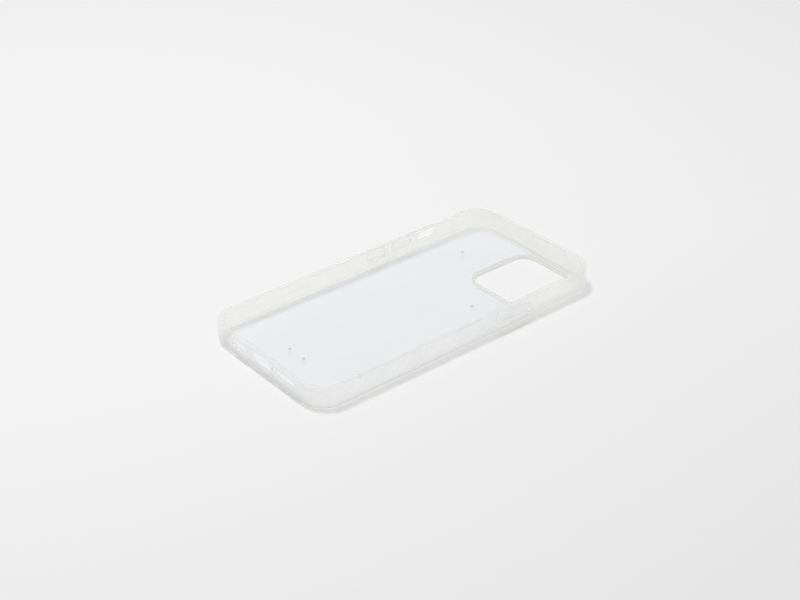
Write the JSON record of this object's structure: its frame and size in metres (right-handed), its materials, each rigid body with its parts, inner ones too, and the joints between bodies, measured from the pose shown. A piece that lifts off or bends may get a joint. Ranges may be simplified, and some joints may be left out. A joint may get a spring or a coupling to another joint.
{
  "type": "phone case",
  "caption": "Hybrid phone case: soft translucent bumper frame with a raised lip, clear hard back plate, camera window, charging-port and speaker cut-outs, and sprung side buttons.",
  "frame": {"origin": "middle of the case in plan, on the surface that the lens ring on the back rests on", "axes": "+Z out of the open side, +Y to the phone's top end, +X to the phone's right side as its screen is seen"},
  "size_m": [0.0756, 0.1502, 0.011],
  "materials": {
    "frosted_soft_plastic": "frosted translucent, satin",
    "clear_hard_plastic": "clear, polished, faint cool tint"
  },
  "bodies": {
    "case": {"bumper_frame": "frosted_soft_plastic", "back_plate": "clear_hard_plastic", "volume_up_web": "frosted_soft_plastic", "volume_down_web": "frosted_soft_plastic", "power_web": "frosted_soft_plastic"},
    "volume_up": {"volume_up_button": "frosted_soft_plastic"},
    "volume_down": {"volume_down_button": "frosted_soft_plastic"},
    "power": {"power_button": "frosted_soft_plastic"}
  },
  "joints": [
    {"name": "volume_up_press", "type": "slide", "parent": "case", "child": "volume_up", "axis": [1, 0, 0], "range_m": [0, 0.00035], "stiffness_N_per_m": 2000, "deforming": ["volume_up_web"]},
    {"name": "volume_down_press", "type": "slide", "parent": "case", "child": "volume_down", "axis": [1, 0, 0], "range_m": [0, 0.00035], "stiffness_N_per_m": 2000, "deforming": ["volume_down_web"]},
    {"name": "power_press", "type": "slide", "parent": "case", "child": "power", "axis": [-1, 0, 0], "range_m": [0, 0.00035], "stiffness_N_per_m": 2000, "deforming": ["power_web"]}
  ]
}
